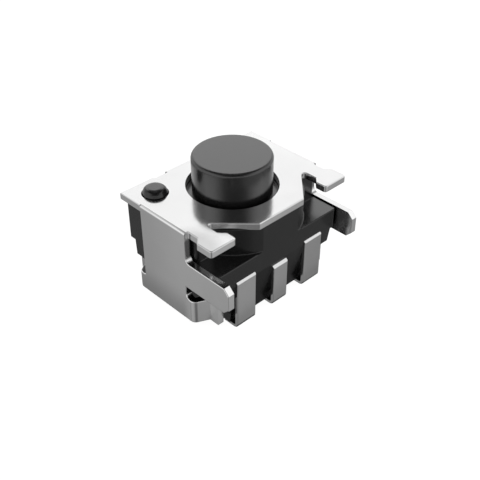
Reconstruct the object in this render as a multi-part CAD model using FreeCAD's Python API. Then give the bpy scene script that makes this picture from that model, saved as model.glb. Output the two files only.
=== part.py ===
import FreeCAD, Part
import math
import os

# A surface-mount push switch, modelled in millimetres.
# The origin lies on the button's axis, on the flat underside. +Z points up out of the button,
# +Y to the back, and the three solder leads are at the front, on -Y.

Vector = FreeCAD.Vector

# Whole switch
plate_top_z = 4.75

# Cover sheet
sheet = 0.30
cover_width = 7.70
plate_back_y = 2.72
plate_front_y = 2.90
plate_front_width = 2.56
fold_radius = 0.13
sheet_edge_radius = 0.04
button_hole_diameter = 4.00

# Side walls of the cover
wall_front_y = 1.31
wall_back_y = 1.44
wall_bottom_z = 0.31
wall_root_radius = 0.25

# Board side: the ears' tips and the leads' outer faces lie in one plane
board_plane_y = 2.95

# Ears at the front of the plate
ear_neck_inset = 0.18
ear_neck_width = 0.81
ear_head_overhang = 0.08
ear_head_width = 1.33
ear_outer_length = 0.79
ear_inner_length = 0.52
ear_corner_radius = 0.13
ear_root_radius = 0.10
notch_radius = 0.15

# Locating arms that reach past the board plane
arm_top_z = 3.29
arm_height = 1.24
arm_reach = 0.84
arm_chamfer = 0.26
slit_end_y = 1.25
slit_radius = 0.25
joggle_start_margin = 0.10

# Joggled tabs that hook under the housing's middle step
tab_inset = 0.66
tab_angle = 65.0
tab_bend_radius = 0.30
front_tab_bend_y = 1.67
front_tab_end_y = 2.45
front_tab_top_z = 1.43
back_tab_bend_y = 1.84
back_tab_end_y = 2.54
back_tab_top_z = 1.14
back_tab_corner_radius = 0.08

# Flap folded down behind the plate
flap_width = 2.80
flap_outer_y = 2.77
flap_length = 1.60
flap_corner = 0.30
flap_notch_depth = 0.10
flap_notch_width = 0.65

# Housing
housing_depth = 5.74
side_clearance = 0.08
ledge_z = 3.22
upper_front_y = 1.59
bulge_radius = 3.05
upper_bottom_z = 2.28
middle_step = 0.25
middle_front_bottom_z = 1.55
middle_back_bottom_z = 1.20
lower_step = 0.61
front_bottom_y = 2.52
back_bottom_y = 2.74
housing_edge_radius = 0.05
housing_foot_radius = 0.05
ledge_corner_radius = 0.10
tower_corner_radius = 0.17
foot_pocket_length = 0.47

# Peg of the housing that stands through the plate at the back left
peg_inset = 1.04
peg_y = 1.70
peg_diameter = 1.06
peg_clearance = 0.05
peg_height = 0.30
peg_crown_radius = 0.27

# Button well in the housing
well_diameter = 4.90
dome_seat_diameter = 4.54
dome_seat_depth = 0.59
contact_z = 2.46

# Button
button_diameter = 3.45
button_height = 1.44
button_edge_radius = 0.155
flange_clearance = 0.05
flange_thickness = 0.90
flange_play = 0.05
stem_diameter = 1.80
stem_tip_radius = 0.20
skirt_wall = 0.50
skirt_depth = 0.55

# Snap dome
dome_diameter = 4.40
dome_height = 0.42
dome_sheet = 0.08
dome_gap = 0.02

# Terminals
strip = 0.15
lead_pitch = 2.02
outer_lead_width = 1.05
center_lead_width = 0.83
center_exit_z = 2.14
lead_top_chamfer = 0.10
center_top_chamfer = 0.12
lead_foot_radius = 0.25
lead_foot_inner_radius = 0.10
foot_length = 0.80
foot_clearance = 0.01
rail_end_y = 1.20
pad_diameter = 1.20
pad_slope_start_y = 1.15
pad_slope_end_y = 0.75

# Smallest length that counts as a difference when an edge is looked up by its place
tolerance = 0.0001

# Sizes worked out from the ones above
half_width = cover_width / 2
peg_x = -(half_width - peg_inset)
plate_bottom_z = plate_top_z - sheet
housing_top_z = plate_bottom_z
housing_half_width = half_width - sheet - side_clearance
middle_half_width = housing_half_width - middle_step
lower_half_width = middle_half_width - lower_step
housing_front_y = housing_depth / 2
housing_back_y = housing_depth / 2
arm_bottom_z = arm_top_z - arm_height
arm_tip_y = board_plane_y + arm_reach
joggle_start_y = slit_end_y - joggle_start_margin


def rounded_wire(corners):
    """Closed wire in the XY plane through corners given as (x, y) or (x, y, radius)."""
    count = len(corners)
    joints = []
    for index in range(count):
        here = corners[index]
        point = Vector(here[0], here[1], 0)
        radius = here[2] if len(here) > 2 else 0
        if radius == 0:
            joints.append((point, None, point))
            continue
        back = (Vector(corners[index - 1][0], corners[index - 1][1], 0) - point).normalize()
        ahead_corner = corners[(index + 1) % count]
        ahead = (Vector(ahead_corner[0], ahead_corner[1], 0) - point).normalize()
        half_angle = back.getAngle(ahead) / 2
        reach = radius / math.tan(half_angle)
        middle = point + (back + ahead).normalize() * (radius / math.sin(half_angle) - radius)
        joints.append((point + back * reach, middle, point + ahead * reach))
    edges = []
    for index in range(count):
        start, middle, end = joints[index]
        if middle is not None:
            edges.append(Part.Arc(start, middle, end).toShape())
        next_start = joints[(index + 1) % count][0]
        if end.distanceToPoint(next_start) > tolerance:
            edges.append(Part.LineSegment(end, next_start).toShape())
    return Part.Wire(edges)


def plan_prism(corners, low_z, high_z):
    """Outline in plan, given as (x, y), between two heights."""
    prism = Part.Face(rounded_wire(corners)).extrude(Vector(0, 0, high_z - low_z))
    prism.translate(Vector(0, 0, low_z))
    return prism


def side_prism(corners, low_x, high_x):
    """Outline seen from the side, given as (y, z), between two places across the width."""
    prism = Part.Face(rounded_wire(corners)).extrude(Vector(0, 0, high_x - low_x))
    prism.rotate(Vector(0, 0, 0), Vector(1, 1, 1), 120)
    prism.translate(Vector(low_x, 0, 0))
    return prism


def turned(corners):
    """Solid of revolution about the button's axis from an outline given as (radius, z)."""
    face = Part.Face(rounded_wire(corners))
    face.rotate(Vector(0, 0, 0), Vector(1, 0, 0), 90)
    return face.revolve(Vector(0, 0, 0), Vector(0, 0, 1), 360)


def upright_cylinder(diameter, low_z, high_z, x=0.0, y=0.0):
    return Part.makeCylinder(diameter / 2, high_z - low_z, Vector(x, y, low_z))


def mirrored_x(shape):
    return shape.mirror(Vector(0, 0, 0), Vector(1, 0, 0))


def rounded_where(shape, radius, test):
    """Fillet of every edge whose middle point and direction pass a test."""
    chosen = []
    for edge in shape.Edges:
        middle = edge.valueAt((edge.FirstParameter + edge.LastParameter) / 2)
        box = edge.BoundBox
        if test(middle, box):
            chosen.append(edge)
    return shape.makeFillet(radius, chosen)


def cover_plate():
    """Top plate with its ears, button hole and peg holes."""
    neck_outer_x = half_width - ear_neck_inset
    neck_inner_x = neck_outer_x - ear_neck_width
    head_outer_x = half_width + ear_head_overhang
    head_inner_x = head_outer_x - ear_head_width
    outer_shoulder_y = board_plane_y - ear_outer_length
    inner_shoulder_y = board_plane_y - ear_inner_length
    front_half = plate_front_width / 2
    flap_half = flap_width / 2
    notch_floor_y = plate_back_y - flap_notch_depth
    right = [
        (flap_half, flap_outer_y),
        (flap_half, notch_floor_y),
        (flap_half + flap_notch_width, notch_floor_y),
        (flap_half + flap_notch_width + flap_notch_depth, plate_back_y),
        (half_width, plate_back_y),
        (half_width, -wall_front_y),
        (neck_outer_x, -wall_front_y, ear_root_radius),
        (neck_outer_x, -(outer_shoulder_y - head_outer_x + neck_outer_x)),
        (head_outer_x, -outer_shoulder_y),
        (head_outer_x, -board_plane_y, ear_corner_radius),
        (head_inner_x, -board_plane_y, ear_corner_radius),
        (head_inner_x, -inner_shoulder_y),
        (neck_inner_x, -(inner_shoulder_y - neck_inner_x + head_inner_x)),
        (neck_inner_x, -(plate_front_y - neck_inner_x + front_half), notch_radius),
        (front_half, -plate_front_y),
    ]
    left = [(-corner[0],) + corner[1:] for corner in reversed(right)]
    plate = rounded_where(
        plan_prism(right + left, plate_bottom_z, plate_top_z),
        sheet_edge_radius,
        lambda middle, box: box.ZMin > plate_top_z - tolerance,
    )
    button_hole = upright_cylinder(button_hole_diameter, plate_bottom_z, plate_top_z)
    peg_hole = upright_cylinder(peg_diameter + 2 * peg_clearance, plate_bottom_z, plate_top_z, peg_x, peg_y)
    return plate.cut([button_hole, peg_hole])


def fold_rounding(length):
    """What a fold takes off a square corner, along +Y from the origin, with the corner at the origin."""
    corner = Part.makeBox(2 * fold_radius, length, 2 * fold_radius, Vector(-fold_radius, 0, -fold_radius))
    bend = Part.makeCylinder(fold_radius, length, Vector(-fold_radius, 0, -fold_radius), Vector(0, 1, 0))
    return corner.cut(bend)


def cover_wall():
    """Right side wall with its arm, folded down from the plate."""
    corners = [
        (wall_back_y, plate_top_z),
        (wall_back_y, wall_bottom_z),
        (-joggle_start_y, wall_bottom_z),
        (-joggle_start_y, arm_bottom_z),
        (-arm_tip_y + arm_chamfer, arm_bottom_z),
        (-arm_tip_y, arm_bottom_z + arm_chamfer),
        (-arm_tip_y, arm_top_z - arm_chamfer),
        (-arm_tip_y + arm_chamfer, arm_top_z),
        (-wall_front_y, arm_top_z, wall_root_radius),
        (-wall_front_y, plate_top_z),
    ]
    return side_prism(corners, half_width - sheet, half_width)


def joggled_tab(start_y, corner_y, bend_y, end_y, top_z, start_top_z, corner_radius):
    """Tab at the right wall's back foot: bent inwards, then straight again, with a rounded inner corner."""
    slant = math.radians(tab_angle)
    run = tab_inset / math.tan(slant)
    shift = sheet * math.tan(slant / 2)
    tab_x = half_width - tab_inset
    inner_x = half_width - sheet
    strip_shape = plan_prism(
        [
            (half_width, start_y),
            (half_width, bend_y, tab_bend_radius),
            (tab_x, bend_y + run),
            (tab_x, end_y),
            (tab_x - sheet, end_y),
            (tab_x - sheet, bend_y + run - shift, tab_bend_radius),
            (inner_x, bend_y - shift),
            (inner_x, start_y),
        ],
        wall_bottom_z,
        start_top_z,
    )
    room_above = side_prism(
        [
            (corner_y, start_top_z),
            (corner_y, top_z, corner_radius),
            (end_y, top_z),
            (end_y, start_top_z),
        ],
        tab_x - sheet,
        half_width,
    )
    return strip_shape.cut(room_above)


def cover_flap():
    """Flap folded down from the back edge of the plate."""
    bottom_z = plate_top_z - flap_length
    half = flap_width / 2
    corners = [
        (-half, plate_top_z),
        (-half, bottom_z, flap_corner),
        (half, bottom_z, flap_corner),
        (half, plate_top_z),
    ]
    flap = Part.Face(rounded_wire(corners)).extrude(Vector(0, 0, sheet))
    flap.rotate(Vector(0, 0, 0), Vector(1, 0, 0), 90)
    flap.translate(Vector(0, flap_outer_y, 0))
    return rounded_where(
        flap,
        sheet_edge_radius,
        lambda middle, box: box.YMin > flap_outer_y - tolerance and middle.z < plate_top_z - tolerance,
    )


def make_cover():
    """The whole cover, one folded sheet."""
    back_tab = joggled_tab(
        wall_back_y,
        wall_back_y,
        back_tab_bend_y,
        back_tab_end_y,
        back_tab_top_z,
        back_tab_top_z + back_tab_corner_radius,
        back_tab_corner_radius,
    )
    front_tab = joggled_tab(
        joggle_start_y,
        slit_end_y,
        front_tab_bend_y,
        front_tab_end_y,
        front_tab_top_z,
        arm_bottom_z,
        slit_radius,
    )
    front_tab = front_tab.mirror(Vector(0, 0, 0), Vector(0, 1, 0))
    right_side = rounded_where(
        cover_wall().fuse([back_tab, front_tab]).removeSplitter(),
        sheet_edge_radius,
        lambda middle, box: box.XMin > half_width - tolerance and middle.z < plate_top_z - tolerance,
    )
    cover = cover_plate().fuse([right_side, mirrored_x(right_side), cover_flap()])
    side_fold = fold_rounding(wall_front_y + ear_root_radius + wall_back_y)
    side_fold.translate(Vector(half_width, -wall_front_y - ear_root_radius, plate_top_z))
    back_fold = fold_rounding(flap_width)
    back_fold.rotate(Vector(0, 0, 0), Vector(0, 0, 1), 90)
    back_fold.translate(Vector(flap_width / 2, flap_outer_y, plate_top_z))
    return cover.cut([side_fold, mirrored_x(side_fold), back_fold]).removeSplitter()


def housing_skirt(half, front_low_z, back_low_z):
    """Lower block of the housing, with the front and back faces leaning in towards the bottom."""
    pocket_z = strip + foot_clearance
    block = side_prism(
        [
            (-housing_front_y, upper_bottom_z),
            (-front_bottom_y, pocket_z),
            (-front_bottom_y + foot_pocket_length, pocket_z),
            (-front_bottom_y + foot_pocket_length, 0),
            (back_bottom_y, 0),
            (housing_back_y, upper_bottom_z),
        ],
        -half,
        half,
    )
    room = side_prism(
        [
            (-housing_front_y, front_low_z),
            (0, front_low_z),
            (0, back_low_z),
            (housing_back_y, back_low_z),
            (housing_back_y, upper_bottom_z),
            (-housing_front_y, upper_bottom_z),
        ],
        -half,
        half,
    )
    return block.common(room)


def housing_upper():
    """Upper block: full width behind, two ledges in front, and the round wall of the well between them."""
    half = housing_half_width
    ledge = plan_prism(
        [
            (-half, -housing_front_y, ledge_corner_radius),
            (half, -housing_front_y, ledge_corner_radius),
            (half, housing_back_y, ledge_corner_radius),
            (-half, housing_back_y, ledge_corner_radius),
        ],
        upper_bottom_z,
        ledge_z,
    )
    ledge_side = side_prism(
        [
            (-housing_front_y, upper_bottom_z),
            (-housing_front_y, ledge_z, housing_edge_radius),
            (housing_back_y, ledge_z),
            (housing_back_y, upper_bottom_z),
        ],
        -half,
        half,
    )
    tower = plan_prism(
        [
            (-half, -upper_front_y, tower_corner_radius),
            (half, -upper_front_y, tower_corner_radius),
            (half, housing_back_y, ledge_corner_radius),
            (-half, housing_back_y, ledge_corner_radius),
        ],
        ledge_z,
        housing_top_z,
    )
    bulge = upright_cylinder(2 * bulge_radius, upper_bottom_z, housing_top_z)
    front_room = plan_prism(
        [(-half, -housing_front_y), (half, -housing_front_y), (half, 0), (-half, 0)],
        upper_bottom_z,
        housing_top_z,
    )
    return ledge.common(ledge_side).fuse([tower, bulge.common(front_room)]).removeSplitter()


def housing_peg():
    """Peg that stands through the plate, with a rounded crown."""
    crown_z = plate_top_z + peg_height
    peg = upright_cylinder(peg_diameter, ledge_z, crown_z, peg_x, peg_y)
    return rounded_where(peg, peg_crown_radius, lambda middle, box: box.ZMin > crown_z - tolerance)


def flap_pocket():
    """Room behind the housing for the cover's flap."""
    half = flap_width / 2 + side_clearance
    inner_y = flap_outer_y - sheet - side_clearance
    low_z = plate_top_z - flap_length - side_clearance
    return plan_prism(
        [(-half, inner_y), (half, inner_y), (half, housing_back_y), (-half, housing_back_y)],
        low_z,
        housing_top_z,
    )


def well():
    """Well for the button, with a narrower seat for the snap dome at its foot."""
    seat_top_z = contact_z + dome_seat_depth
    return upright_cylinder(dome_seat_diameter, contact_z, seat_top_z).fuse(
        upright_cylinder(well_diameter, seat_top_z, housing_top_z)
    )


def ledge_feet():
    """Small concave roundings where the well's wall and the setback wall rise from the ledges."""
    leg = 2 * housing_foot_radius
    ring = turned(
        [
            (bulge_radius - leg, ledge_z - leg),
            (bulge_radius + leg, ledge_z - leg),
            (bulge_radius + leg, ledge_z),
            (bulge_radius, ledge_z, housing_foot_radius),
            (bulge_radius, ledge_z + leg),
            (bulge_radius - leg, ledge_z + leg),
        ]
    )
    front_room = plan_prism(
        [
            (-housing_half_width, -housing_front_y),
            (housing_half_width, -housing_front_y),
            (housing_half_width, 0),
            (-housing_half_width, 0),
        ],
        ledge_z - leg,
        ledge_z + leg,
    )
    straight = side_prism(
        [
            (-upper_front_y + leg, ledge_z - leg),
            (-upper_front_y - leg, ledge_z - leg),
            (-upper_front_y - leg, ledge_z),
            (-upper_front_y, ledge_z, housing_foot_radius),
            (-upper_front_y, ledge_z + leg),
            (-upper_front_y + leg, ledge_z + leg),
        ],
        -housing_half_width + tower_corner_radius,
        housing_half_width - tower_corner_radius,
    )
    return [ring.common(front_room), straight]


def make_housing(terminals):
    """Moulded housing, with the terminals moulded in."""
    middle = housing_skirt(middle_half_width, middle_front_bottom_z, middle_back_bottom_z)
    lower = housing_skirt(lower_half_width, 0, 0)
    block = housing_upper().fuse([middle, lower] + ledge_feet())
    return block.fuse(housing_peg()).cut([flap_pocket(), well()] + terminals).removeSplitter()


def rounded_lead(lead):
    """Lead with the long edges of its outer face rounded, down to the foot's end."""
    return rounded_where(
        lead,
        sheet_edge_radius,
        lambda middle, box: box.YMax < -board_plane_y + tolerance and box.ZLength > strip,
    )


def make_outer_terminal(side):
    """Outer terminal: a contact rail under the dome's rim, a lead down the front and a foot."""
    front_y = -board_plane_y
    corners = [
        (rail_end_y, contact_z),
        (front_y + lead_top_chamfer, contact_z),
        (front_y, contact_z - lead_top_chamfer),
        (front_y, 0, lead_foot_radius),
        (front_y + foot_length, 0),
        (front_y + foot_length, strip),
        (front_y + strip, strip, lead_foot_inner_radius),
        (front_y + strip, contact_z - strip),
        (rail_end_y, contact_z - strip),
    ]
    middle_x = side * lead_pitch
    return rounded_lead(side_prism(corners, middle_x - outer_lead_width / 2, middle_x + outer_lead_width / 2))


def make_center_terminal():
    """Centre terminal: a round pad under the dome's crown, reached by a strip bent down to its exit."""
    front_y = -board_plane_y
    drop = contact_z - center_exit_z
    slope = math.atan2(drop, pad_slope_start_y - pad_slope_end_y)
    shift = strip * math.tan(slope / 2)
    corners = [
        (0, contact_z),
        (-pad_slope_end_y, contact_z),
        (-pad_slope_start_y, center_exit_z),
        (front_y + center_top_chamfer, center_exit_z),
        (front_y, center_exit_z - center_top_chamfer),
        (front_y, 0, lead_foot_radius),
        (front_y + foot_length, 0),
        (front_y + foot_length, strip),
        (front_y + strip, strip, lead_foot_inner_radius),
        (front_y + strip, center_exit_z - strip),
        (-pad_slope_start_y + shift, center_exit_z - strip),
        (-pad_slope_end_y + shift, contact_z - strip),
        (0, contact_z - strip),
    ]
    lead = rounded_lead(side_prism(corners, -center_lead_width / 2, center_lead_width / 2))
    pad = upright_cylinder(pad_diameter, contact_z - strip, contact_z)
    return lead.fuse(pad).removeSplitter()


def make_dome():
    """Snap dome: a shallow cap of spring sheet that rests on the outer terminals."""
    base = dome_diameter / 2
    sphere = (base * base + dome_height * dome_height) / (2 * dome_height)
    center_z = contact_z + dome_height - sphere
    inner_sphere = sphere - dome_sheet
    inner_base = math.sqrt(inner_sphere**2 - (contact_z - center_z) ** 2)

    def on_cap(radius, across):
        return Vector(across, 0, center_z + math.sqrt(radius**2 - across**2))

    outer_arc = Part.Arc(on_cap(sphere, base), on_cap(sphere, base / 2), on_cap(sphere, 0))
    inner_arc = Part.Arc(on_cap(inner_sphere, 0), on_cap(inner_sphere, base / 2), on_cap(inner_sphere, inner_base))
    outline = Part.Wire(
        [
            outer_arc.toShape(),
            Part.LineSegment(on_cap(sphere, 0), on_cap(inner_sphere, 0)).toShape(),
            inner_arc.toShape(),
            Part.LineSegment(on_cap(inner_sphere, inner_base), on_cap(sphere, base)).toShape(),
        ]
    )
    return Part.Face(outline).revolve(Vector(0, 0, 0), Vector(0, 0, 1), 360)


def make_plunger():
    """Button: a round head, a flange kept in by the plate, a guiding skirt and a stem over the dome."""
    flange_top_z = plate_bottom_z - flange_play
    flange_bottom_z = flange_top_z - flange_thickness
    flange_radius = well_diameter / 2 - flange_clearance
    tip_z = contact_z + dome_height + dome_gap
    return turned(
        [
            (0, tip_z),
            (stem_diameter / 2, tip_z, stem_tip_radius),
            (stem_diameter / 2, flange_bottom_z + skirt_depth),
            (flange_radius - skirt_wall, flange_bottom_z + skirt_depth),
            (flange_radius - skirt_wall, flange_bottom_z),
            (flange_radius, flange_bottom_z),
            (flange_radius, flange_top_z),
            (button_diameter / 2, flange_top_z),
            (button_diameter / 2, plate_top_z + button_height, button_edge_radius),
            (0, plate_top_z + button_height),
        ]
    )


def main():
    os.makedirs("parts", exist_ok=True)
    left = make_outer_terminal(-1)
    right = make_outer_terminal(1)
    center = make_center_terminal()
    pieces = {
        "cover": make_cover(),
        "housing": make_housing([left, right, center]),
        "plunger": make_plunger(),
        "snap_dome": make_dome(),
        "left_terminal": left,
        "right_terminal": right,
        "center_terminal": center,
    }
    for name, shape in pieces.items():
        shape.Solids[0].exportStep("parts/" + name + ".step")


main()
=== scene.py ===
import math

import bpy
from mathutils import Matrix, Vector


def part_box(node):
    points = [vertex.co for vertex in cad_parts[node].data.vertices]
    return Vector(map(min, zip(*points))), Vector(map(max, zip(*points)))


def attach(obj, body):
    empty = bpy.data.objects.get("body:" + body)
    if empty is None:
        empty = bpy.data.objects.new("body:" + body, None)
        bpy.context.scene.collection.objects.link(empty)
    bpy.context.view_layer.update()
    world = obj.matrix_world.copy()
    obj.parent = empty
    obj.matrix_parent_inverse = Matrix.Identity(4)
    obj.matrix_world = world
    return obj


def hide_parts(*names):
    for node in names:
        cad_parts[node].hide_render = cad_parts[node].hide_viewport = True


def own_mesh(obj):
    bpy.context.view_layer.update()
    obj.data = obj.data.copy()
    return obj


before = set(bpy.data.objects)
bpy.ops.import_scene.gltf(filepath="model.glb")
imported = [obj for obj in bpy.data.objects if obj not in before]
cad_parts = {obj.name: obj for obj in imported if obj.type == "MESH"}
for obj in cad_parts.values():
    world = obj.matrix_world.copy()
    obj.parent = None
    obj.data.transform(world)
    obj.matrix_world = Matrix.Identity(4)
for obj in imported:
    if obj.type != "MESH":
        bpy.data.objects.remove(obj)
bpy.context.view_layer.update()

# Lengths below are in millimetres and angles in degrees
MM = 0.001

# Camera: the photograph's viewing angle, aimed from the middle of the plate's top
CAMERA_AZIMUTH = -44.22
CAMERA_ELEVATION = 36.37
CAMERA_DISTANCE = 32.70
CAMERA_RIGHT = 0.321
CAMERA_UP = -2.401
CAMERA_LENS = 58.07
CAMERA_SENSOR = 36.0
CAMERA_NEAR = 1.0
CAMERA_FAR = 2000.0

# Floor: a wide disc that glows almost white, with a matt share that takes a faint shade
FLOOR_RADIUS = 400.0
FLOOR_Z = -0.02
FLOOR_STEPS = 64
FLOOR_GLOW = 0.95
FLOOR_DIFFUSE = 0.3

# Studio light: brightness by the height of a direction, from straight down (-1) to straight up (1)
HEIGHT_LOW = [
    (-1.0, 0.02),
    (-0.81, 0.09),
    (-0.70, 0.24),
    (-0.655, 0.31),
    (-0.60, 0.335),
    (-0.50, 0.36),
    (0.0, 0.9),
]
HEIGHT_HIGH = [
    (0.0, 0.9),
    (0.44, 1.0),
    (0.485, 1.08),
    (0.505, 0.9),
    (0.62, 0.98),
    (0.67, 1.08),
    (0.74, 0.5),
    (0.82, 0.1),
    (1.0, 0.05),
]

# Studio light by the side of a direction, from away from the camera (-1) to behind the camera (1)
SIDE_LOW = [
    (-1.0, 0.9),
    (-0.12, 1.0),
    (-0.02, 0.72),
    (0.05, 0.78),
    (0.13, 1.06),
    (0.2, 1.1),
    (0.6, 1.15),
    (0.87, 1.0),
    (0.96, 0.6),
    (1.0, 0.4),
]
SIDE_HIGH = [
    (-1.0, 1.0),
    (-0.9, 1.0),
    (-0.55, 0.65),
    (-0.3, 0.6),
    (-0.08, 0.82),
    (0.0, 0.84),
    (0.07, 1.05),
    (0.5, 1.0),
    (0.72, 0.62),
    (0.88, 0.2),
    (1.0, 0.1),
]

# Heights over which the high light, the high sides and the overhead light take over
HORIZON_FADE = (-0.25, 0.25)
SIDE_HIGH_FADE = (0.24, 0.42)
OVERHEAD_FADE = (0.92, 0.995)
OVERHEAD = 0.25

# Brightness of the studio where the camera sees it past the floor's edge
BACKDROP = 1.0

# How far the studio is turned from the camera's azimuth
STUDIO_TURN = 8.0

# Metals: colour and roughness
COVER_STEEL = ((0.95, 0.95, 0.95), 0.15)
LEAD_METAL = ((0.75, 0.75, 0.75), 0.15)
SPRING_STEEL = ((0.8, 0.79, 0.76), 0.2)

# Plastics: colour, roughness, and index of refraction of the sides and of the tops, the tops' set higher
# as a painted highlight, and how far a face looks up while the one gives way to the other
HOUSING_BLACK = ((0.012, 0.012, 0.012), 0.22, 1.55, 2.2)
BUTTON_GREY = ((0.014, 0.014, 0.014), 0.23, 1.75, 2.3)
TOP_HIGHLIGHT_FACING = (0.88, 0.99)

# Unevenness of the metals: noise scales per metre, shares by which the values spread, and bump strength
METAL_CLOUD_SCALE = 700.0
METAL_CLOUD_SPREAD = 0.015
METAL_POLISH_SCALE = 2600.0
METAL_POLISH_SPREAD = 0.12
METAL_GRAIN_SCALE = 14000.0
METAL_GRAIN_STRENGTH = 0.02

# Unevenness of the plastics
PLASTIC_CLOUD_SCALE = 900.0
PLASTIC_CLOUD_SPREAD = 0.1
PLASTIC_MATT_SCALE = 5200.0
PLASTIC_MATT_SPREAD = 0.08
PLASTIC_GRAIN_SCALE = 9000.0
PLASTIC_GRAIN_STRENGTH = 0.01

# Detail of each kind of noise, the span of its values that is used, and the grain's depth
CLOUD_DETAIL = 3.0
POLISH_DETAIL = 5.0
MATT_DETAIL = 4.0
GRAIN_DETAIL = 4.0
NOISE_SPAN = (0.3, 0.7)
GRAIN_DEPTH = 0.001

# Painted shade (a dimmed reflection) on the plate along the left ear's outer edge, measured from a point
# beside it
PLATE_SHADE_X = -4.64
PLATE_SHADE_Y = -2.24
PLATE_SHADE_FADE = (1.0, 1.83)
PLATE_SHADE_TONE = 0.75

# Walls: painted shade, darker to the back, and at the foot behind the arm
WALL_BACK_FADE = (-1.8, 1.6)
WALL_BACK_SHADE = 0.82
WALL_FOOT_FADE = (0.4, 1.9)
WALL_FOOT_SHADE = 0.3
ARM_ROOT_FADE = (-1.5, -1.0)

# Painted shade on the wall edges in the slits between the arms and the ears
SLIT_FOOT_FADE = (3.3, 3.4)
SLIT_TOP_FADE = (4.3, 4.4)
SLIT_FACING = (-0.9, -0.6)
SLIT_SHADE_TONE = 0.45

# Painted shade in the cover's corners and narrow gaps, from ambient occlusion
NOOK_REACH = 1.2
NOOK_SAMPLES = 16
NOOK_FADE = (0.3, 0.65)
NOOK_SHADE_TONE = 0.12

# Leads: painted shade, darker towards the foot
LEAD_FOOT_FADE = (0.3, 1.3)
LEAD_FOOT_SHADE = 0.84

# How far a cover face looks up before it takes the plate's painted shade in place of the walls'
PLATE_FACING = (0.3, 0.8)

# Snap dome, drawn as a thin sheet
DOME_SHEET = 0.08
DOME_TIP_RADIUS = 0.001
DOME_RINGS = 14
DOME_STEPS = 96


def in_metres(lengths):
    """Lengths in metres."""
    return [length * MM for length in lengths]


def plate_top():
    """Height of the plate's top, in metres."""
    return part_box("cover")[1].z


def new_material(name):
    """Material with an empty node tree, its tree and its output."""
    material = bpy.data.materials.new(name)
    material.use_nodes = True
    tree = material.node_tree
    tree.nodes.clear()
    output = tree.nodes.new("ShaderNodeOutputMaterial")
    return material, tree, output


def add_node(tree, kind, **values):
    """Node of a kind, with its sockets set by name."""
    node = tree.nodes.new(kind)
    for name, value in values.items():
        node.inputs[name.replace("_", " ")].default_value = value
    return node


def product(tree, first, second):
    """Product of two values, each a socket or a number."""
    node = tree.nodes.new("ShaderNodeMath")
    node.operation = "MULTIPLY"
    for socket, value in zip(node.inputs, (first, second)):
        if isinstance(value, float):
            socket.default_value = value
        else:
            tree.links.new(value, socket)
    return node.outputs["Value"]


def ramp(tree, value, span, levels):
    """Smooth change from one level to another while a value crosses a span."""
    node = tree.nodes.new("ShaderNodeMapRange")
    node.interpolation_type = "SMOOTHSTEP"
    names = ("From Min", "From Max", "To Min", "To Max")
    for name, number in zip(names, (*span, *levels)):
        node.inputs[name].default_value = number
    tree.links.new(value, node.inputs["Value"])
    return node.outputs["Result"]


def mixed(tree, share, first, second):
    """Mix of two values, all of the second where the share is 1."""
    node = tree.nodes.new("ShaderNodeMix")
    for name, value in (("Factor", share), ("A", first), ("B", second)):
        if isinstance(value, float):
            node.inputs[name].default_value = value
        else:
            tree.links.new(value, node.inputs[name])
    return node.outputs["Result"]


def make_camera():
    """Camera that sees the switch as the photograph does."""
    azimuth = math.radians(CAMERA_AZIMUTH)
    elevation = math.radians(CAMERA_ELEVATION)
    level = math.cos(elevation)
    back = Vector((math.sin(azimuth) * level, -math.cos(azimuth) * level, math.sin(elevation)))
    right = Vector((math.cos(azimuth), math.sin(azimuth), 0.0))
    up = back.cross(right)
    data = bpy.data.cameras.new("camera")
    data.sensor_width = CAMERA_SENSOR
    data.lens = CAMERA_LENS
    data.clip_start = CAMERA_NEAR * MM
    data.clip_end = CAMERA_FAR * MM
    camera = bpy.data.objects.new("camera", data)
    offset = back * CAMERA_DISTANCE + right * CAMERA_RIGHT + up * CAMERA_UP
    camera.location = Vector((0, 0, plate_top())) + offset * MM
    camera.rotation_euler = (math.pi / 2 - elevation, 0.0, azimuth)
    bpy.context.scene.collection.objects.link(camera)
    bpy.context.scene.camera = camera


def floor_material():
    """Glow and matt white together."""
    material, tree, output = new_material("floor_pale")
    glow = add_node(tree, "ShaderNodeEmission", Color=(1, 1, 1, 1), Strength=FLOOR_GLOW)
    grey = (FLOOR_DIFFUSE, FLOOR_DIFFUSE, FLOOR_DIFFUSE, 1)
    matt = add_node(tree, "ShaderNodeBsdfDiffuse", Color=grey)
    both = tree.nodes.new("ShaderNodeAddShader")
    tree.links.new(glow.outputs["Emission"], both.inputs[0])
    tree.links.new(matt.outputs["BSDF"], both.inputs[1])
    tree.links.new(both.outputs["Shader"], output.inputs["Surface"])
    return material


def make_floor():
    """Plain pale floor that the switch neither mirrors nor is lit by."""
    mesh = bpy.data.meshes.new("floor")
    rim = []
    for step in range(FLOOR_STEPS):
        turn = 2 * math.pi * step / FLOOR_STEPS
        rim.append(in_metres((FLOOR_RADIUS * math.cos(turn), FLOOR_RADIUS * math.sin(turn), FLOOR_Z)))
    mesh.from_pydata(rim, [], [tuple(range(FLOOR_STEPS))])
    mesh.materials.append(floor_material())
    floor = bpy.data.objects.new("floor", mesh)
    bpy.context.scene.collection.objects.link(floor)
    floor.visible_glossy = False
    floor.visible_diffuse = False


def brightness_curve(tree, value, stops):
    """Brightness that follows a value from -1 to 1 through the given stops."""
    shift = add_node(tree, "ShaderNodeMapRange", From_Min=-1.0, From_Max=1.0)
    tree.links.new(value, shift.inputs["Value"])
    curve = tree.nodes.new("ShaderNodeValToRGB")
    curve.color_ramp.interpolation = "EASE"
    tree.links.new(shift.outputs["Result"], curve.inputs["Fac"])
    elements = curve.color_ramp.elements
    for place, level in stops[1:-1]:
        elements.new((place + 1) / 2).color = (level, level, level, 1)
    for element, (place, level) in ((elements[0], stops[0]), (elements[-1], stops[-1])):
        element.position = (place + 1) / 2
        element.color = (level, level, level, 1)
    return curve.outputs["Color"]


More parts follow.
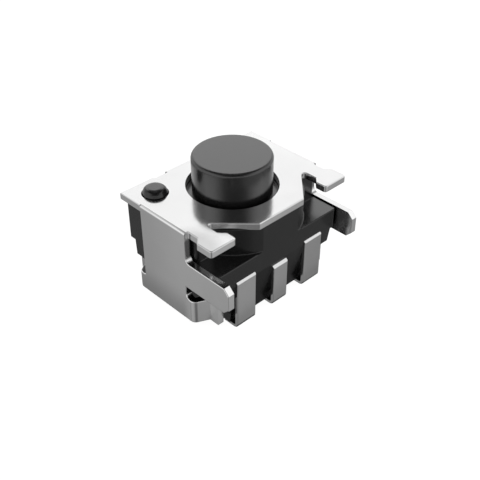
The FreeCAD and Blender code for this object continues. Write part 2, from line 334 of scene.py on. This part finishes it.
def studio_directions(tree):
    """Height of a direction, and how far it points to the side of the studio that the camera stands on."""
    coordinates = tree.nodes.new("ShaderNodeTexCoord")
    split = tree.nodes.new("ShaderNodeSeparateXYZ")
    tree.links.new(coordinates.outputs["Generated"], split.inputs["Vector"])
    flat = tree.nodes.new("ShaderNodeVectorMath")
    flat.operation = "MULTIPLY"
    flat.inputs[1].default_value = (1, 1, 0)
    tree.links.new(coordinates.outputs["Generated"], flat.inputs[0])
    unit = tree.nodes.new("ShaderNodeVectorMath")
    unit.operation = "NORMALIZE"
    tree.links.new(flat.outputs["Vector"], unit.inputs[0])
    toward = tree.nodes.new("ShaderNodeVectorMath")
    toward.operation = "DOT_PRODUCT"
    azimuth = math.radians(CAMERA_AZIMUTH + STUDIO_TURN)
    toward.inputs[1].default_value = (math.sin(azimuth), -math.cos(azimuth), 0)
    tree.links.new(unit.outputs["Vector"], toward.inputs[0])
    return split.outputs["Z"], toward.outputs["Value"]


def make_world():
    """Soft studio light: white walls all round, dim overhead and behind the camera, grey from below."""
    world = bpy.data.worlds.new("studio")
    bpy.context.scene.world = world
    world.use_nodes = True
    tree = world.node_tree
    tree.nodes.clear()
    height, side = studio_directions(tree)
    low = product(tree, brightness_curve(tree, height, HEIGHT_LOW), brightness_curve(tree, side, SIDE_LOW))
    sides_in = ramp(tree, height, SIDE_HIGH_FADE, (0.0, 1.0))
    high_side = mixed(tree, sides_in, 1.0, brightness_curve(tree, side, SIDE_HIGH))
    high = product(tree, brightness_curve(tree, height, HEIGHT_HIGH), high_side)
    high = mixed(tree, ramp(tree, height, OVERHEAD_FADE, (0.0, 1.0)), high, OVERHEAD)
    strength = mixed(tree, ramp(tree, height, HORIZON_FADE, (0.0, 1.0)), low, high)
    path = tree.nodes.new("ShaderNodeLightPath")
    strength = mixed(tree, path.outputs["Is Camera Ray"], strength, BACKDROP)
    background = add_node(tree, "ShaderNodeBackground", Color=(1, 1, 1, 1))
    tree.links.new(strength, background.inputs["Strength"])
    output = tree.nodes.new("ShaderNodeOutputWorld")
    tree.links.new(background.outputs["Background"], output.inputs["Surface"])


def place_on_object(tree):
    """Object coordinates, whole and split."""
    coordinates = tree.nodes.new("ShaderNodeTexCoord")
    split = tree.nodes.new("ShaderNodeSeparateXYZ")
    tree.links.new(coordinates.outputs["Object"], split.inputs["Vector"])
    return coordinates.outputs["Object"], split.outputs


def facing(tree, axis):
    """How far a face looks along an axis, from -1 to 1."""
    geometry = tree.nodes.new("ShaderNodeNewGeometry")
    split = tree.nodes.new("ShaderNodeSeparateXYZ")
    tree.links.new(geometry.outputs["True Normal"], split.inputs["Vector"])
    return split.outputs[axis]


def noise(tree, place, scale, detail):
    """Noise over the object's own coordinates."""
    node = add_node(tree, "ShaderNodeTexNoise", Scale=scale, Detail=detail)
    tree.links.new(place, node.inputs["Vector"])
    return node.outputs["Fac"]


def uneven(tree, place, scale, detail, middle, spread):
    """Value that wavers about its middle by a share of it."""
    levels = (middle * (1 - spread), middle * (1 + spread))
    return ramp(tree, noise(tree, place, scale, detail), NOISE_SPAN, levels)


def add_grain(tree, shader, place, scale, strength):
    """Fine grain on a shader's surface."""
    bump = add_node(tree, "ShaderNodeBump", Strength=strength, Distance=GRAIN_DEPTH * MM)
    tree.links.new(noise(tree, place, scale, GRAIN_DETAIL), bump.inputs["Height"])
    tree.links.new(bump.outputs["Normal"], shader.inputs["Normal"])


def scaled_color(tree, color, value):
    """Colour times a value."""
    node = tree.nodes.new("ShaderNodeCombineColor")
    for channel, share in zip(("Red", "Green", "Blue"), color):
        tree.links.new(product(tree, value, share), node.inputs[channel])
    return node.outputs["Color"]


def nook_shade(tree):
    """Painted shade in corners and narrow gaps, from ambient occlusion."""
    nook = add_node(tree, "ShaderNodeAmbientOcclusion", Distance=NOOK_REACH * MM)
    nook.samples = NOOK_SAMPLES
    return ramp(tree, nook.outputs["AO"], NOOK_FADE, (NOOK_SHADE_TONE, 1.0))


def slit_shade(tree, height):
    """Painted shade on the walls' front edges in the slits between the arms and the ears."""
    over_arm = ramp(tree, height, in_metres(SLIT_FOOT_FADE), (0.0, 1.0))
    under_ear = ramp(tree, height, in_metres(SLIT_TOP_FADE), (1.0, 0.0))
    front = ramp(tree, facing(tree, "Y"), SLIT_FACING, (1.0, 0.0))
    share = product(tree, front, product(tree, over_arm, under_ear))
    return mixed(tree, share, 1.0, SLIT_SHADE_TONE)


def wall_painted_shade(tree, parts):
    """Painted shade on the walls: darker to the back, at the foot behind the arm, and in the slits."""
    shade_to_back = ramp(tree, parts["Y"], in_metres(WALL_BACK_FADE), (1.0, WALL_BACK_SHADE))
    shade_at_foot = ramp(tree, parts["Z"], in_metres(WALL_FOOT_FADE), (1.0 - WALL_FOOT_SHADE, 1.0))
    behind_arm = ramp(tree, parts["Y"], in_metres(ARM_ROOT_FADE), (0.0, 1.0))
    foot = mixed(tree, behind_arm, 1.0, shade_at_foot)
    return product(tree, product(tree, shade_to_back, foot), slit_shade(tree, parts["Z"]))


def plate_painted_shade(tree, place):
    """Painted shade on the plate, darker near a point beside the left ear's outer edge."""
    distance = tree.nodes.new("ShaderNodeVectorMath")
    distance.operation = "DISTANCE"
    distance.inputs[1].default_value = (PLATE_SHADE_X * MM, PLATE_SHADE_Y * MM, plate_top())
    tree.links.new(place, distance.inputs[0])
    return ramp(tree, distance.outputs["Value"], in_metres(PLATE_SHADE_FADE), (PLATE_SHADE_TONE, 1.0))


def cover_painted_shade(tree, place, parts):
    """Cover's painted shades: the walls', the plate's, and in corners and narrow gaps."""
    on_plate = ramp(tree, facing(tree, "Z"), PLATE_FACING, (0.0, 1.0))
    tone = mixed(tree, on_plate, wall_painted_shade(tree, parts), plate_painted_shade(tree, place))
    return product(tree, tone, nook_shade(tree))


def lead_painted_shade(tree, place, parts):
    """Painted shade on the leads, darker towards the foot."""
    return ramp(tree, parts["Z"], in_metres(LEAD_FOOT_FADE), (LEAD_FOOT_SHADE, 1.0))


def satin_metal(name, color, roughness, shade_by_place=None):
    """Plated sheet metal: a near mirror with a faint uneven polish and a very fine grain."""
    material, tree, output = new_material(name)
    shader = add_node(tree, "ShaderNodeBsdfPrincipled", Metallic=1.0)
    place, parts = place_on_object(tree)
    value = uneven(tree, place, METAL_CLOUD_SCALE, CLOUD_DETAIL, 1.0, METAL_CLOUD_SPREAD)
    # painted shade by place on the object, where the material is given one
    if shade_by_place:
        value = product(tree, value, shade_by_place(tree, place, parts))
    tree.links.new(scaled_color(tree, color, value), shader.inputs["Base Color"])
    polish = uneven(tree, place, METAL_POLISH_SCALE, POLISH_DETAIL, roughness, METAL_POLISH_SPREAD)
    tree.links.new(polish, shader.inputs["Roughness"])
    add_grain(tree, shader, place, METAL_GRAIN_SCALE, METAL_GRAIN_STRENGTH)
    tree.links.new(shader.outputs["BSDF"], output.inputs["Surface"])
    return material


def moulded_plastic(name, color, roughness, side_ior, top_ior):
    """Moulded plastic with a fine matt grain, and a painted highlight: a higher index of refraction on the
    faces that look up, so they reflect more.
    """
    material, tree, output = new_material(name)
    shader = tree.nodes.new("ShaderNodeBsdfPrincipled")
    place, parts = place_on_object(tree)
    value = uneven(tree, place, PLASTIC_CLOUD_SCALE, CLOUD_DETAIL, 1.0, PLASTIC_CLOUD_SPREAD)
    tree.links.new(scaled_color(tree, color, value), shader.inputs["Base Color"])
    matt = uneven(tree, place, PLASTIC_MATT_SCALE, MATT_DETAIL, roughness, PLASTIC_MATT_SPREAD)
    tree.links.new(matt, shader.inputs["Roughness"])
    # painted highlight: faces that look up get a higher index of refraction and reflect more
    tree.links.new(ramp(tree, facing(tree, "Z"), TOP_HIGHLIGHT_FACING, (side_ior, top_ior)), shader.inputs["IOR"])
    add_grain(tree, shader, place, PLASTIC_GRAIN_SCALE, PLASTIC_GRAIN_STRENGTH)
    tree.links.new(shader.outputs["BSDF"], output.inputs["Surface"])
    return material


def dress(node, material):
    """Gives a CAD node its material."""
    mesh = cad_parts[node].data
    mesh.materials.clear()
    mesh.materials.append(material)


def dome_profile():
    """Dome's section as distances from the axis and heights, out over the top and back underneath."""
    low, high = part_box("snap_dome")
    base = high.x
    rise = high.z - low.z
    outer = (base**2 + rise**2) / (2 * rise)
    center_z = high.z - outer
    inner = outer - DOME_SHEET * MM
    inner_base = math.sqrt(inner**2 - (low.z - center_z) ** 2)
    over = range(DOME_RINGS + 1)
    profile = []
    for radius, reach, order in ((outer, base, over), (inner, inner_base, reversed(over))):
        for step in order:
            across = max(reach * step / DOME_RINGS, DOME_TIP_RADIUS * MM)
            profile.append((across, center_z + math.sqrt(radius**2 - across**2)))
    return profile


def dome_mesh():
    """Dome's section turned round its axis."""
    profile = dome_profile()
    vertices = []
    for across, height in profile:
        for step in range(DOME_STEPS):
            turn = 2 * math.pi * step / DOME_STEPS
            vertices.append((across * math.cos(turn), across * math.sin(turn), height))
    rings = [[ring * DOME_STEPS + step for step in range(DOME_STEPS)] for ring in range(len(profile))]
    faces = []
    for ring, below in zip(rings, rings[1:]):
        for step in range(DOME_STEPS):
            after = (step + 1) % DOME_STEPS
            faces.append((ring[step], below[step], below[after], ring[after]))
    faces.append(tuple(rings[0]))
    faces.append(tuple(reversed(rings[-1])))
    mesh = bpy.data.meshes.new("snap_dome_cap")
    mesh.from_pydata(vertices, [], faces)
    for polygon in mesh.polygons:
        polygon.use_smooth = True
    return mesh


def make_snap_dome(material):
    """Snap dome as a thin cap."""
    mesh = dome_mesh()
    mesh.materials.append(material)
    dome = bpy.data.objects.new("snap_dome_cap", mesh)
    bpy.context.scene.collection.objects.link(dome)
    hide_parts("snap_dome")
    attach(dome, "base")
    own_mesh(dome)


def dress_all():
    """Every node's finish."""
    dress("cover", satin_metal("cover_steel", *COVER_STEEL, shade_by_place=cover_painted_shade))
    dress("housing", moulded_plastic("housing_black", *HOUSING_BLACK))
    dress("plunger", moulded_plastic("button_grey", *BUTTON_GREY))
    lead = satin_metal("lead_metal", *LEAD_METAL, shade_by_place=lead_painted_shade)
    for node in ("left_terminal", "right_terminal", "center_terminal"):
        dress(node, lead)
    make_snap_dome(satin_metal("spring_steel", *SPRING_STEEL))


bpy.context.scene.view_settings.view_transform = "Standard"
make_camera()
make_floor()
make_world()
dress_all()
